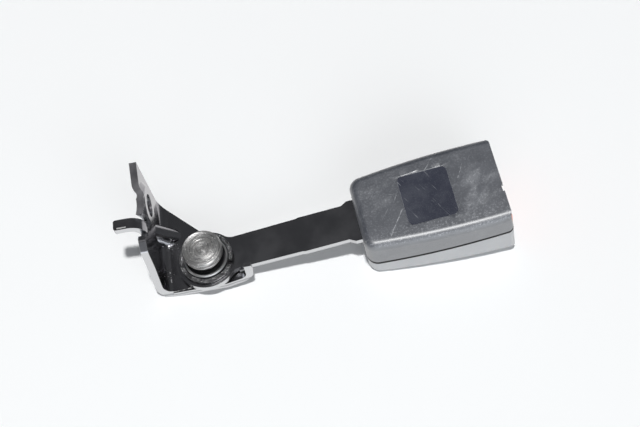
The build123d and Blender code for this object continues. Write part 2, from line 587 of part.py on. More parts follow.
def ejector_spring():
    end_x = EJECTOR_X - EJECTOR_L + EJECTOR_POCKET - SEAT
    z = (EJECTOR_TOP_Z + EJECTOR_BOTTOM_Z) / 2
    return coil(EJECTOR_SPRING_R, EJECTOR_SPRING_TURNS, TAIL_X + SEAT, end_x, 0, z)


# ---------------------------------------------------------------- covers and label
def casing_hull(inset, x0, x1, shift=0.0):
    """The tapered block of the casing from x0 to x1, drawn in by inset and moved along X by shift."""
    a = x0 - shift
    b = x1 - shift
    side = side_prism([(x0, bottom_z(a) + inset), (x1, bottom_z(b) + inset),
                       (x1, top_z(b) - inset), (x0, top_z(a) - inset)], -FAR, FAR)
    plan = plan_prism([(x0, inset - half_width(a)), (x1, inset - half_width(b)),
                       (x1, half_width(b) - inset), (x0, half_width(a) - inset)], -FAR, FAR)
    return side & plan


def rim_edges(solid, end_x):
    """The edges round a block's upper and lower face, all but those at its far end."""
    return solid.edges().filter_by(lambda e: e.center().X < end_x - 1 and abs(e.tangent_at(0.5).Z) < 0.3)


def rounded_hull(inset, x0):
    """The casing's block with rounded edges, run on past the mouth."""
    end_x = CASE_END_X + MOUTH_RUN
    solid = casing_hull(inset, x0, end_x)
    corners = solid.edges().filter_by(Axis.Z).sort_by(Axis.X)[0:2]
    solid = fillet(corners, max(CASE_CORNER_R - inset, LEAST_R))
    upper = rim_edges(solid, end_x).filter_by(lambda e: e.center().Z > part_z(e.center().X))
    solid = fillet(upper, max(CASE_TOP_R - inset, LEAST_R))
    lower = rim_edges(solid, end_x).filter_by(lambda e: e.center().Z < part_z(e.center().X))
    return fillet(lower, max(CASE_BOTTOM_R - inset, LEAST_R))


def mouth_cut():
    """Everything behind the mouth, with its two corners rounded as seen from above."""
    keep = block(0, CASE_END_X, -half_width(CASE_END_X), half_width(CASE_END_X), -FAR, FAR)
    corners = keep.edges().filter_by(Axis.Z).sort_by(Axis.X)[-2:]
    return fillet(corners, MOUTH_CORNER_R)


def parting_side(offset, upper):
    """All that lies above or below the parting plane, moved up by offset."""
    far = FAR if upper else -FAR
    edge = [(0, part_z(0) + offset), (FAR, part_z(FAR) + offset)]
    return side_prism(edge + [(FAR, far), (0, far)], -FAR, FAR)


def back_cover():
    shell = rounded_hull(0, CASE_X) & mouth_cut() & parting_side(PART_GAP / 2, True)
    cavity = rounded_hull(WALL, CASE_X + WALL)
    shell = shell - cavity
    arm_way = block(CASE_X - 1, CASE_X + WALL + 1, -SHOULDER_W / 2 - GAP, SHOULDER_W / 2 + GAP, -FAR, GAP)
    notch = block(CASE_END_X - NOTCH_DEPTH, CASE_END_X + 1, -NOTCH_W / 2, NOTCH_W / 2, 0, FAR)
    notch = Pos(0, NOTCH_Y, 0) * notch
    cover = shell - arm_way - notch - label_block(LABEL_RECESS, 0)
    ribs = both_sides(block(TAIL_X, FRAME_END_X - WALL, HOLDER_RIB_Y, HOLDER_RIB_Y + HOLDER_RIB_T,
                            FRAME_TOP_Z, CASE_TOP_ARM))
    ribs = ribs & casing_hull(WALL / 2, CASE_X, CASE_END_X)
    return cover + ribs


def label_block(depth, clearance):
    """A rounded slab sunk below the sloping label face by depth and left open above."""
    x0 = LABEL_X + clearance
    x1 = LABEL_X + LABEL_L - clearance
    half = LABEL_W / 2 - clearance
    slab = block(x0, x1, -half, half, 0, FAR)
    slab = fillet(slab.edges().filter_by(Axis.Z), LABEL_R)
    above = side_prism([(0, top_z(0) - depth), (FAR, top_z(FAR) - depth), (FAR, FAR), (0, FAR)], -FAR, FAR)
    return slab & above


def blank_label():
    return label_block(LABEL_RECESS, GAP / 2) - label_block(LABEL_RECESS - LABEL_T, GAP / 2)


def inner_lip():
    """The lip that stands inside the back cover, with the root that carries it."""
    inside = rounded_hull(WALL + LIP_T, CASE_X + WALL + LIP_T)
    short_of_button = block(0, CASE_END_X - BUTTON_DEPTH - BUTTON_TRAVEL - 1, -FAR, FAR, -FAR, FAR)
    lip = rounded_hull(WALL + SEAT, CASE_X + WALL + SEAT) & parting_side(LIP_H, False)
    root = rounded_hull(WALL / 2, CASE_X + WALL / 2) & parting_side(-PART_GAP / 2, False)
    return ((lip + root) - inside) & parting_side(-LIP_H, True) & short_of_button


def cover_posts():
    """Posts under the frame's walls and ribs behind the button's springs."""
    inside = casing_hull(WALL / 2, CASE_X, CASE_END_X)
    rib_end = SPRING_RIB_X + SPRING_RIB_T
    ribs = block(SPRING_RIB_X, rib_end, RAIL_Y, FAR, -FAR, RAIL_TOP_Z - 1)
    ribs = ribs & casing_hull(WALL + SEAT, CASE_X, CASE_END_X)
    feet = block(SPRING_RIB_X, rib_end, RAIL_Y, FAR, -FAR, part_z(CASE_X) - LIP_H) & inside
    posts = block(PIN_X, PIN_X + POST_T, FRAME_INNER_W / 2, FRAME_OUT_Y, -FAR, FRAME_BOTTOM_Z)
    posts = posts + block(LOCK_X, LOCK_X + POST_T, FRAME_INNER_W / 2, FRAME_OUT_Y, -FAR, FRAME_BOTTOM_Z)
    return both_sides(ribs + feet + (posts & inside))


def front_cover():
    mouth = mouth_cut() & block(0, CASE_END_X - FRONT_SETBACK, -FAR, FAR, -FAR, FAR)
    shell = rounded_hull(0, CASE_X) & mouth & parting_side(-PART_GAP / 2, False)
    shell = shell - rounded_hull(WALL, CASE_X + WALL)
    half = SHOULDER_W / 2
    arm_way = block(CASE_X - 1, CASE_X + WALL + LIP_T + 1, -half - GAP, half + GAP, -ARM_T - GAP, FAR)
    sill = block(CASE_X + WALL / 4, CASE_X + WALL, -half, half, part_z(CASE_X) - LIP_H, -ARM_T - GAP)
    return shell + inner_lip() + sill + cover_posts() - arm_way


# ---------------------------------------------------------------- button and guide
def press_button():
    face_x = CASE_END_X + BUTTON_PROUD
    back_x = CASE_END_X - BUTTON_DEPTH
    outer = casing_hull(WALL + GAP, back_x, face_x + 1, BUTTON_TRAVEL)
    outer = fillet(outer.edges().filter_by(lambda e: abs(e.tangent_at(0.5).X) > 0.9), BUTTON_EDGE_R)
    dish_r = (half_width(CASE_END_X) ** 2 + BUTTON_DISH ** 2) / (2 * BUTTON_DISH)
    dish = drum(dish_r, -FAR, FAR, face_x - BUTTON_DISH + dish_r)
    outer = outer & block(0, face_x, -FAR, FAR, -FAR, FAR)
    inset = WALL + GAP + BUTTON_SKIN
    hollow = casing_hull(inset, back_x - 1, face_x - BUTTON_DISH - BUTTON_SKIN, BUTTON_TRAVEL)
    hollow = hollow & block(0, FAR, -FAR, FAR, -FAR, SLOT_BOTTOM_Z - BUTTON_SKIN)
    slot = block(back_x - 1, face_x + 1, -SLOT_W / 2, SLOT_W / 2, SLOT_BOTTOM_Z, FAR)
    behind_horns = block(back_x - 1, CASE_END_X - HORN_DEPTH, -FAR, FAR, SLOT_BOTTOM_Z, FAR)
    head = outer - dish - hollow - slot - behind_horns
    rail_out = RAIL_Y + RAIL_T
    rail = block(RAIL_END_X, face_x - BUTTON_DISH - 1, RAIL_Y, rail_out, RAIL_BOTTOM_Z, SLOT_BOTTOM_Z)
    rail = rail + block(RAIL_END_X, back_x - 1, RAIL_Y, rail_out, RAIL_BOTTOM_Z, RAIL_TOP_Z)
    pusher_x = LOCK_X + LOCK_T / 2 + GAP + BUTTON_TRAVEL
    pusher = block(pusher_x, pusher_x + PUSHER_L, RAIL_Y, rail_out, PUSHER_BOTTOM_Z, RAIL_BOTTOM_Z)
    return head + both_sides(rail + pusher)


def button_springs():
    x0 = SPRING_RIB_X + SPRING_RIB_T + SEAT
    y = RAIL_Y + BUTTON_SPRING_R
    z = (RAIL_TOP_Z + RAIL_BOTTOM_Z) / 2
    end_x = RAIL_END_X - SEAT
    pair = [coil(BUTTON_SPRING_R, BUTTON_SPRING_TURNS, x0, end_x, side * y, z) for side in (-1, 1)]
    return Compound(children=pair)


def tongue_guide():
    x1 = CASE_END_X - GUIDE_SETBACK
    x0 = x1 - GUIDE_L
    half = SLOT_W / 2 - GAP
    return side_prism([
        (x0, SLOT_TOP_Z), (x1 - GUIDE_LEAD, SLOT_TOP_Z), (x1, SLOT_TOP_Z + GUIDE_FLARE),
        (x1, top_z(x1) - WALL - SEAT), (x0, top_z(x0) - WALL - SEAT),
    ], -half, half)


def main():
    os.makedirs("parts", exist_ok=True)
    yaw = Rot(0, 0, BRACKET_YAW)
    parts = {
        "anchor_bracket": yaw * anchor_bracket(),
        "pivot_stud": pivot_stud(),
        "pivot_bush": pivot_bush(),
        "thrust_washer": thrust_washer(),
        "stud_tail_washer": stud_tail_washer(),
        "spring_washer": spring_washer(),
        "buckle_arm": buckle_arm(),
        "frame_rivets": frame_rivets(),
        "latch_frame": latch_frame(),
        "latch_plate": latch_plate(),
        "latch_pin": latch_pin(),
        "lock_bar": lock_bar(),
        "ejector": ejector(),
        "ejector_spring": ejector_spring(),
        "back_cover": back_cover(),
        "front_cover": front_cover(),
        "blank_label": blank_label(),
        "press_button": press_button(),
        "button_springs": button_springs(),
        "tongue_guide": tongue_guide(),
    }
    hole_x = FOOT_X + BOSS_RISE - PLATE_T / 2
    turn = radians(BRACKET_YAW)
    origin = Pos(hole_x * cos(turn) - BOLT_Y * sin(turn), hole_x * sin(turn) + BOLT_Y * cos(turn), BOLT_Z)
    for name, shape in parts.items():
        export_step(origin.inverse() * shape, f"parts/{name}.step")


main()
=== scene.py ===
import json
import math

import bmesh
import bpy
from mathutils import Matrix, Quaternion, Vector


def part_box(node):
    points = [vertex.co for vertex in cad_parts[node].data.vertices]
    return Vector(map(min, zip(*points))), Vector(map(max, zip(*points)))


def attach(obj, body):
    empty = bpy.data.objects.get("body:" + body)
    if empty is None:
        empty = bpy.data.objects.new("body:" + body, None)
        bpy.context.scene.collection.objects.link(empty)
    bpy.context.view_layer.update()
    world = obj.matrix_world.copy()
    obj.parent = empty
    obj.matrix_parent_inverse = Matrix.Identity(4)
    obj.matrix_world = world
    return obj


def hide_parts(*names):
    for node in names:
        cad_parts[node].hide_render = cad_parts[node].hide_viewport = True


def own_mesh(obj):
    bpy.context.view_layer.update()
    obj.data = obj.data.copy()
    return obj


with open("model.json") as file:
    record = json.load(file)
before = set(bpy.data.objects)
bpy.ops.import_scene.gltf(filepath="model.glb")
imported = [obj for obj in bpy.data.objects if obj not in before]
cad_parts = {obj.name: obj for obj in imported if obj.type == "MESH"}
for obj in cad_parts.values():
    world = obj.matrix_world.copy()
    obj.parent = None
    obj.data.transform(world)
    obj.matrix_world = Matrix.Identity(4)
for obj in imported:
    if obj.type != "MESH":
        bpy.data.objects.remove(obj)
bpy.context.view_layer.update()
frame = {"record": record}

# Everything is in metres and in the part's own frame: +X runs along the stalk to the mouth,
# +Z is the label side, and the origin is in the bolt hole.

# ---- places taken from the part ----
JOINTS = frame["record"]["behaviour"]["joints"]
PIVOT = Vector(next(joint["pos_m"] for joint in JOINTS if joint["name"] == "arm_pivot"))
STUD_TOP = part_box("pivot_stud")[1][2] - PIVOT.z
CASE_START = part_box("back_cover")[0][0] - PIVOT.x
CASE_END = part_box("back_cover")[1][0] - PIVOT.x
SEAM_ARM = -0.0111
SEAM_MOUTH = -0.0094

# ---- camera ----
CAMERA_AT = PIVOT + Vector((0.0805, -0.3537, 0.6388))
CAMERA_AIM = PIVOT + Vector((0.0598, 0.0087, 0.0))
CAMERA_ROLL = math.radians(17.9)
CAMERA_LENS = 83.3
SENSOR_WIDTH = 36.0
CAMERA_CLIP = (0.01, 50.0)

# ---- table: it touches the fold of the bracket and the arm end of the casing's underside ----
TABLE_TILT = math.radians(7.58)
TABLE_TOUCH = PIVOT + Vector((0.07985, 0.0, -0.0214))
TABLE_SIZE = 6.0
TABLE_WHITE = 0.93
TABLE_TINT = 0.01       # how much less red the table's faint clouds have
TABLE_CLOUD_SCALE = 3.0
TABLE_ROUGHNESS = 0.7

# ---- light ----
KEY_AIM = PIVOT + Vector((0.06, 0.0, -0.01))
KEY_FROM = Vector((0.065, -0.15, 1.0))
KEY_DISTANCE = 3.2
KEY_SIZE = 0.192
KEY_POWER = 80.0
ROOM_LIGHT = 0.14
ROOM_COLOUR = (0.92, 0.96, 1.0, 1.0)
DARK_SKY = Vector((0.09, 0.5, 0.86))
DARK_LIGHT = 0.10
DARK_SPREAD = (0.35, 0.85)      # cosines of the angle from DARK_SKY
FRONT_SKY = Vector((0.1, -1.0, 0.14))
FRONT_LIGHT = 2.35
FRONT_SPREAD = (0.7, 0.98)      # cosines of the angle from FRONT_SKY

# ---- surfaces ----
# pale bare steel, also the colour of the painted glints
BARE_STEEL_AND_GLINT = (0.8, 0.8, 0.79, 1.0)
# near-black painted shade, with grime, in the joint between the covers
SEAM_SHADE_AND_DIRT = (0.01, 0.01, 0.012, 1.0)
SEAM_SHADE_EDGE = (0.0011, 0.0008)   # from clean to fully darkened, away from the seam
BRACKET_BAND = -6.1     # mm from the pivot to the torn band in the bracket's cut edge
NO_BAND = -20.0         # away from the stalk, which shows no such band
BAND_MIDDLE = 0.0007
BAND_EDGE = (0.0008, 0.0004)        # from clean to torn, away from the band's middle

# ---- marks at set places, in mm from the pivot ----
# a spot is x, y, z and its reach; a line on a flat face is x0, y0, x1, y1, z and its width
# The first spot is a worn, chipped patch; the second, by the gusset, paints glints there as bright
# specks.
CHIP_AND_GLINT_SPOTS = ((-21.5, -2.0, -4.3, 6.0), (-16.5, 14.5, -3.0, 5.0))
STEEL_GLINTS = (
    (14.0, -8.6, 18.6, -8.0, -3.4, 0.5),
    (19.0, -7.4, 21.0, -5.0, 0.5, 0.4),
    (-20.3, 19.5, -14.8, 16.5, -1.5, 0.5),
    (-21.5, -10.2, -2.0, -11.4, -4.3, 0.3),
)
FOOT_GLINT = (-35.5, 11.6, -31.5, 11.2, 32.0, 0.55)
CASE_SCRATCHES = (
    (120.0, 19.8, 110.4, 9.0, 5.4, 0.3),
    (99.8, -4.0, 90.5, -17.1, 5.7, 0.35),
    (101.0, 9.0, 96.5, 1.0, 5.7, 0.2),
    (134.0, 12.5, 128.5, 3.0, 5.2, 0.2),
)
MOUTH_WORN_SPOTS = ((140.0, -1.0, 5.2, 14.0), (132.0, -12.0, 5.2, 14.0))
ARM_END_WORN_SPOT = (86.0, 8.0, 5.8, 18.0)
LABEL_FAR_EDGE = (101.0, 14.25, 125.0, 14.25, 5.3, 0.55)

# ---- meshes ----
WELD = 0.000002
CUT_WELD = 0.000001
SHARP_ANGLE = math.radians(32)
STUD_FACE_RADIUS = 0.00945
STUD_FACE_RINGS = 22
STUD_FACE_LIFT = 0.00007
STEPS_PER_RING = 4.0
RIM_POWER = 40.0


# ---------------------------------------------------------------- node helpers
class Graph:
    """A node tree with short ways to add and join nodes."""

    def __init__(self, tree):
        self.tree = tree

    def add(self, kind, **settings):
        node = self.tree.nodes.new(kind)
        for name, value in settings.items():
            setattr(node, name, value)
        return node

    def put(self, socket, value):
        if isinstance(value, bpy.types.NodeSocket):
            self.tree.links.new(value, socket)
        else:
            socket.default_value = value

    def math(self, operation, a, b=0.0, c=0.0, clamp=False):
        node = self.add("ShaderNodeMath", operation=operation, use_clamp=clamp)
        for socket, value in zip(node.inputs, (a, b, c)):
            self.put(socket, value)
        return node.outputs[0]

    def vector(self, operation, a, b=(0.0, 0.0, 0.0)):
        node = self.add("ShaderNodeVectorMath", operation=operation)
        self.put(node.inputs[0], a)
        self.put(node.inputs[1], b)
        return node.outputs["Value" if operation in ("DOT_PRODUCT", "DISTANCE") else "Vector"]

    def grow(self, a, factor):
        """A vector made longer by a number."""
        node = self.add("ShaderNodeVectorMath", operation="SCALE")
        self.put(node.inputs[0], a)
        self.put(node.inputs["Scale"], factor)
        return node.outputs["Vector"]

    def span(self, value, low, high, to_low=0.0, to_high=1.0):
        node = self.add("ShaderNodeMapRange", interpolation_type="SMOOTHSTEP")
        for socket, number in zip(node.inputs, (value, low, high, to_low, to_high)):
            self.put(socket, number)
        return node.outputs[0]

    def span_line(self, value, low, high, to_low, to_high):
        """The same without easing, and going on past both ends."""
        node = self.add("ShaderNodeMapRange", clamp=False)
        for socket, number in zip(node.inputs, (value, low, high, to_low, to_high)):
            self.put(socket, number)
        return node.outputs[0]

    def mix(self, factor, a, b, blend="MIX"):
        node = self.add("ShaderNodeMix", data_type="RGBA", blend_type=blend)
        self.put(node.inputs["Factor"], factor)
        self.put(node.inputs[6], a)
        self.put(node.inputs[7], b)
        return node.outputs[2]

    def blend(self, factor, a, b):
        """A number between a and b."""
        node = self.add("ShaderNodeMix", data_type="FLOAT")
        self.put(node.inputs["Factor"], factor)
        self.put(node.inputs[2], a)
        self.put(node.inputs[3], b)
        return node.outputs[0]

    def noise(self, at, scale, detail=3.0, roughness=0.5):
        node = self.add("ShaderNodeTexNoise")
        self.put(node.inputs["Vector"], at)
        self.put(node.inputs["Scale"], scale)
        self.put(node.inputs["Detail"], detail)
        self.put(node.inputs["Roughness"], roughness)
        return node.outputs["Fac"]

    def spread(self, noise):
        """A noise value spread to roughly 0.3 to 1.7."""
        return self.math("ADD", self.math("MULTIPLY", noise, 2.8), -0.4)

    def place(self, at, location=(0, 0, 0), turn=(0, 0, 0)):
        node = self.add("ShaderNodeMapping", vector_type="POINT")
        self.put(node.inputs["Vector"], at)
        self.put(node.inputs["Location"], location)
        self.put(node.inputs["Rotation"], turn)
        return node.outputs["Vector"]

    def parts(self, at):
        node = self.add("ShaderNodeSeparateXYZ")
        self.put(node.inputs[0], at)
        return node.outputs

    def join(self, x, y, z):
        node = self.add("ShaderNodeCombineXYZ")
        for socket, value in zip(node.inputs, (x, y, z)):
            self.put(socket, value)
        return node.outputs[0]

    def bump(self, height, distance, strength=1.0, normal=None):
        node = self.add("ShaderNodeBump")
        self.put(node.inputs["Height"], height)
        self.put(node.inputs["Distance"], distance)
        self.put(node.inputs["Strength"], strength)
        if normal is not None:
            self.put(node.inputs["Normal"], normal)
        return node.outputs["Normal"]

    def use(self, effect, **values):
        """Place an effect; a name's underscores stand for the spaces of its sockets."""
        node = self.add("ShaderNodeGroup", node_tree=effect)
        for name, value in values.items():
            self.put(node.inputs[name.replace("_", " ")], value)
        return node.outputs


def rgb(r, g, b):
    return (r, g, b, 1.0)


def new_object(name, data):
    thing = bpy.data.objects.new(name, data)
    bpy.context.collection.objects.link(thing)
    return thing


# ---------------------------------------------------------------- effects shared by the finishes
def new_effect(name, inputs, outputs):
    tree = bpy.data.node_groups.new(name, "ShaderNodeTree")
    for label, kind, value in inputs:
        socket = tree.interface.new_socket(label, in_out="INPUT", socket_type="NodeSocket" + kind)
        if value is not None:
            socket.default_value = value
    for label, kind in outputs:
        tree.interface.new_socket(label, in_out="OUTPUT", socket_type="NodeSocket" + kind)
    g = Graph(tree)
    return g, g.add("NodeGroupInput").outputs, g.add("NodeGroupOutput").inputs


def make_edge_wear():
    """Rubbed edges: where the surface turns within Radius, broken up by a coarse noise."""
    g, given, result = new_effect(
        "edge_wear",
        [("Vector", "Vector", None), ("Radius", "Float", 0.0004), ("Amount", "Float", 0.5),
         ("Patch Size", "Float", 0.004)],
        [("Mask", "Float")],
    )
    rounded = g.add("ShaderNodeBevel", samples=6)
    g.put(rounded.inputs["Radius"], given["Radius"])
    plain = g.add("ShaderNodeNewGeometry").outputs["Normal"]
    turn = g.math("SUBTRACT", 1.0, g.vector("DOT_PRODUCT", rounded.outputs[0], plain))
    edge = g.span(turn, 0.02, 0.22)
    patches = g.noise(given["Vector"], g.math("DIVIDE", 1.0, given["Patch Size"]), 4.0, 0.6)
    limit = g.math("SUBTRACT", 0.85, g.math("MULTIPLY", given["Amount"], 0.6))
    kept = g.span(patches, limit, g.math("ADD", limit, 0.12))
    g.put(result["Mask"], g.math("MULTIPLY", edge, kept, clamp=True))
    return g.tree


def make_fine_grain():
    """Fine leather-like grain of a moulded or coated surface, with its tops as a mask."""
    g, given, result = new_effect(
        "fine_grain",
        [("Vector", "Vector", None), ("Size", "Float", 0.0004)],
        [("Height", "Float"), ("Tops", "Float")],
    )
    scale = g.math("DIVIDE", 1.0, given["Size"])
    coarse = g.noise(given["Vector"], scale, 2.0, 0.55)
    fine = g.noise(given["Vector"], g.math("MULTIPLY", scale, 2.7), 1.0, 0.5)
    height = g.math("ADD", g.math("MULTIPLY", coarse, 0.65), g.math("MULTIPLY", fine, 0.35))
    g.put(result["Height"], height)
    g.put(result["Tops"], g.span(height, 0.5, 0.66))
    return g.tree


def drawn_out(g, given):
    """The place turned by Turn, in Lengths along its X axis and in Widths across it."""
    turned = g.place(given["Vector"], turn=given["Turn"])
    across = g.math("DIVIDE", 1.0, given["Width"])
    stretch = g.join(g.math("DIVIDE", 1.0, given["Length"]), across, across)
    return g.vector("MULTIPLY", turned, stretch)


def make_scratches():
    """Hair-thin scuffs that run one way, gathered in patches."""
    g, given, result = new_effect(
        "scratches",
        [("Vector", "Vector", None), ("Turn", "Vector", None), ("Length", "Float", 0.01),
         ("Width", "Float", 0.0002), ("Amount", "Float", 0.4)],
        [("Mask", "Float")],
    )
    streaks = g.noise(drawn_out(g, given), 0.25, 2.0, 0.5)
    thin = g.span(streaks, 0.64, 0.72)
    patches = g.noise(given["Vector"], g.math("DIVIDE", 0.8, given["Length"]), 2.0, 0.5)
    limit = g.math("SUBTRACT", 0.75, g.math("MULTIPLY", given["Amount"], 0.5))
    kept = g.span(patches, limit, g.math("ADD", limit, 0.15))
    g.put(result["Mask"], g.math("MULTIPLY", thin, kept))
    return g.tree


def make_hairline():
    """One long thin line from From to To, with a ragged edge and a varying depth; it draws
    scratches and painted glints alike.
    """
    g, given, result = new_effect(
        "hairline",
        [("Vector", "Vector", None), ("From", "Vector", None), ("To", "Vector", None),
         ("Width", "Float", 0.0002), ("Wobble", "Float", 0.0012), ("Gaps", "Float", 1.0)],
        [("Mask", "Float")],
    )
    shake = g.add("ShaderNodeTexNoise")
    g.put(shake.inputs["Vector"], given["Vector"])
    shake.inputs["Scale"].default_value = 220.0
    wobble = g.grow(g.vector("SUBTRACT", shake.outputs["Color"], (0.5, 0.5, 0.5)), given["Wobble"])
    at = g.vector("ADD", given["Vector"], wobble)
    run = g.vector("SUBTRACT", given["To"], given["From"])
    away = g.vector("SUBTRACT", at, given["From"])
    along = g.math("DIVIDE", g.vector("DOT_PRODUCT", away, run),
                   g.vector("DOT_PRODUCT", run, run), clamp=True)
    nearest = g.vector("ADD", given["From"], g.grow(run, along))
    distance = g.vector("DISTANCE", at, nearest)
    line = g.span(distance, given["Width"], g.math("MULTIPLY", given["Width"], 0.3))
    broken = g.span(g.noise(given["Vector"], 700.0, 2.0, 0.6), 0.36, 0.56)
    g.put(result["Mask"], g.math("MULTIPLY", line, g.blend(given["Gaps"], 1.0, broken)))
    return g.tree


def make_haze():
    """Soft handling marks: a cloud with no clear edge."""
    g, given, result = new_effect(
        "haze",
        [("Vector", "Vector", None), ("Size", "Float", 0.01)],
        [("Mask", "Float")],
    )
    scale = g.math("DIVIDE", 1.0, given["Size"])
    cloud = g.noise(given["Vector"], scale, 4.0, 0.6)
    g.put(result["Mask"], g.span(cloud, 0.38, 0.68))
    return g.tree


def make_sparkle():
    """Small bright crystals or chips, each with its own strength."""
    g, given, result = new_effect(
        "sparkle",
        [("Vector", "Vector", None), ("Size", "Float", 0.0005), ("Amount", "Float", 0.3)],
        [("Mask", "Float"), ("Height", "Float")],
    )
    cells = g.add("ShaderNodeTexVoronoi", feature="F1")
    g.put(cells.inputs["Vector"], given["Vector"])
    g.put(cells.inputs["Scale"], g.math("DIVIDE", 1.0, given["Size"]))
    pick = g.parts(cells.outputs["Color"])[0]
    chosen = g.span(pick, g.math("SUBTRACT", 1.0, given["Amount"]), 1.0)
    dot = g.span(cells.outputs["Distance"], 0.55, 0.2)
    g.put(result["Mask"], g.math("MULTIPLY", chosen, dot))
    g.put(result["Height"], g.math("MULTIPLY", pick, dot))
    return g.tree


def make_turned_rings():
    """Tool marks of a lathe round the Z axis: rings of uneven depth and brightness."""
    g, given, result = new_effect(
        "turned_rings",
        [("Vector", "Vector", None), ("Pitch", "Float", 0.0008)],
        [("Height", "Float"), ("Bright", "Float")],
    )
    x, y = g.parts(given["Vector"])[:2]
    radius = g.math("SQRT", g.math("ADD", g.math("MULTIPLY", x, x), g.math("MULTIPLY", y, y)))
    safe = g.math("MAXIMUM", radius, 0.0001)
    rings = g.math("DIVIDE", radius, given["Pitch"])
    round_the_axis = g.join(rings, g.math("DIVIDE", x, safe), g.math("DIVIDE", y, safe))
    uneven = g.noise(round_the_axis, 1.1, 3.0, 0.6)
    wave = g.math("SINE", g.math("MULTIPLY", rings, 2.0 * math.pi))
    g.put(result["Height"], g.math("ADD", g.math("MULTIPLY", wave, 0.3), uneven))
    g.put(result["Bright"], g.span(uneven, 0.34, 0.66))
    return g.tree


def make_smears():
    """Pale wiped patches: dust and skin oil dragged across in one direction."""
    g, given, result = new_effect(
        "smears",
        [("Vector", "Vector", None), ("Turn", "Vector", None), ("Length", "Float", 0.014),
         ("Width", "Float", 0.004)],
        [("Mask", "Float")],
    )
    wiped = g.noise(drawn_out(g, given), 1.0, 5.0, 0.65)
    g.put(result["Mask"], g.span(wiped, 0.45, 0.72))
    return g.tree


EDGE_WEAR = make_edge_wear()
FINE_GRAIN = make_fine_grain()
SCRATCHES = make_scratches()
HAIRLINE = make_hairline()
HAZE = make_haze()
SMEARS = make_smears()
SPARKLE = make_sparkle()
TURNED_RINGS = make_turned_rings()


# ---------------------------------------------------------------- finishes
class Finish(Graph):
    """A material with one surface shader; `at` is the place on the part, from the pivot."""

    def __init__(self, name):
        self.material = bpy.data.materials.new(name)
        self.material.use_nodes = True
        super().__init__(self.material.node_tree)
        self.tree.nodes.clear()
        self.surface = self.add("ShaderNodeBsdfPrincipled")
        out = self.add("ShaderNodeOutputMaterial")
        self.put(out.inputs["Surface"], self.surface.outputs[0])
        on_part = self.add("ShaderNodeTexCoord").outputs["Object"]
        self.at = self.place(on_part, location=tuple(-PIVOT))

    def set(self, **values):
        for name, value in values.items():
            self.put(self.surface.inputs[name.replace("_", " ")], value)

    def near(self, x, y, z, reach):
        """1 at a place given in mm from the pivot, fading to 0 at reach."""
        distance = self.vector("DISTANCE", self.at, (x / 1000, y / 1000, z / 1000))
        return self.span(distance, reach / 1000, reach / 3000)

    def scratch_and_glint(self, x0, y0, x1, y1, z, width, **more):
        """A hairline on a flat face, in mm from the pivot, for scratches and for painted glints."""
        ends = {"From": (x0 / 1000, y0 / 1000, z / 1000), "To": (x1 / 1000, y1 / 1000, z / 1000)}
        return self.use(HAIRLINE, Vector=self.at, Width=width / 1000, **ends, **more)["Mask"]


def most(g, *masks):
    """The largest of some masks at each point."""
    top = masks[0]
    for mask in masks[1:]:
        top = g.math("MAXIMUM", top, mask)
    return top


def black_steel(name, band):
    """Glossy black coat on pressed steel, painted paler on faces toward ±Y and with painted glints;
    `band` is the height in mm of its edge's torn band.
    """
    g = Finish(name)
    normal = g.add("ShaderNodeNewGeometry").outputs["Normal"]
    cut_edge_sheen = g.span(g.math("ABSOLUTE", g.parts(normal)[1]), 0.72, 0.93)
    haze = g.use(HAZE, Vector=g.at, Size=0.02)["Mask"]
    chips = g.use(SPARKLE, Vector=g.at, Size=0.0009, Amount=0.3)
    # Bare specks within the spots: real chips at the first spot, painted glints at the second.
    rubbed = most(g, *(g.near(*spot) for spot in CHIP_AND_GLINT_SPOTS))
    specks_and_glints = g.math("MULTIPLY", chips["Mask"], rubbed, clamp=True)
    wear = g.use(EDGE_WEAR, Vector=g.at, Radius=0.00035, Amount=0.9, Patch_Size=0.004)["Mask"]
    scuffs = g.use(SCRATCHES, Vector=g.at, Turn=(0.0, 0.0, 0.5), Length=0.008, Width=0.00025,
                   Amount=0.2)["Mask"]
    uneven = g.math("MULTIPLY", g.noise(g.at, 260.0, 2.0), 0.0014)
    height = g.math("ADD", g.parts(g.at)[2], uneven)
    off_band = g.math("ABSOLUTE", g.math("SUBTRACT", height, band / 1000 + BAND_MIDDLE))
    torn = g.math("MULTIPLY", g.span(off_band, *BAND_EDGE), cut_edge_sheen)
    coat = g.mix(haze, rgb(0.29, 0.285, 0.3), rgb(0.33, 0.325, 0.34))
    # Faces turned toward ±Y are painted paler: partly bare steel on the sheared edges, partly a
    # painted reflection of the white table.
    coat = g.mix(cut_edge_sheen, coat, rgb(0.62, 0.63, 0.645))
    coat = g.mix(g.math("MULTIPLY", torn, 0.75), coat, rgb(0.3, 0.31, 0.32))
    # The glint lines are painted highlights, drawn in the pale colour of bare steel.
    glints = most(g, *(g.scratch_and_glint(*line) for line in STEEL_GLINTS),
                  g.scratch_and_glint(*FOOT_GLINT, Wobble=0.0003, Gaps=0.0))
    bare_and_glints = most(g, g.math("MULTIPLY", wear, 0.8), g.math("MULTIPLY", specks_and_glints, 0.7),
                g.math("MULTIPLY", scuffs, 0.2), g.math("MULTIPLY", glints, 0.9))
    g.set(Base_Color=g.mix(bare_and_glints, coat, BARE_STEEL_AND_GLINT), Metallic=1.0)
    dull = g.math("MULTIPLY", most(g, specks_and_glints, glints, torn), 0.3)
    g.set(Roughness=g.math("ADD", g.blend(haze, 0.17, 0.23), dull))
    dents = g.math("ADD", g.use(FINE_GRAIN, Vector=g.at, Size=0.003)["Height"],
                   g.math("MULTIPLY", g.math("MULTIPLY", chips["Height"], rubbed), 2.0))
    g.set(Normal=g.bump(dents, 0.00005, 0.4))
    return g.material


